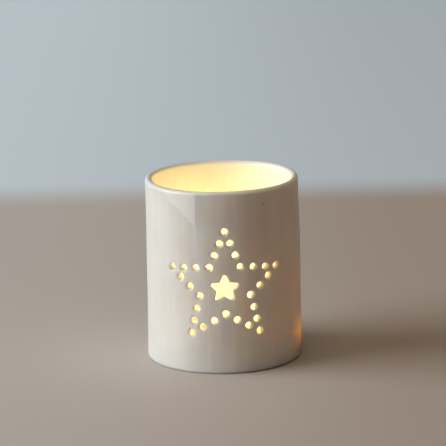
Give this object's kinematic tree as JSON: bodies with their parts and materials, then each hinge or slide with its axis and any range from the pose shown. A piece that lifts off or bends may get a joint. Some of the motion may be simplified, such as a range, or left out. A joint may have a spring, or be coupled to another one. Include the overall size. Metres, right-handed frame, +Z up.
{
  "type": "tealight holder",
  "caption": "Straight-sided porcelain tealight holder with a rounded rim and a pierced star, holding a lit tealight.",
  "frame": {"origin": "centre of the flat base the holder stands on", "axes": "+Z up out of the mouth; -Y out of the front, through the middle of the pierced star"},
  "size_m": [0.0638, 0.0638, 0.0755],
  "materials": {
    "porcelain": "satin",
    "cup_plastic": "gloss",
    "wax": "satin",
    "tinplate": "satin",
    "wick_cotton": "matte"
  },
  "bodies": {
    "holder": {"holder_body": "porcelain"},
    "cup": {"tealight_cup": "cup_plastic"},
    "candle": {"wax": "wax", "wick": "wick_cotton", "wick_sustainer": "tinplate"}
  },
  "joints": [
    {"name": "tealight_lift", "type": "slide", "parent": "holder", "child": "cup", "axis": [0, 0, 1], "range_m": [0, 0.08]},
    {"name": "candle_lift", "type": "slide", "parent": "cup", "child": "candle", "axis": [0, 0, 1], "range_m": [0, 0.02]}
  ]
}
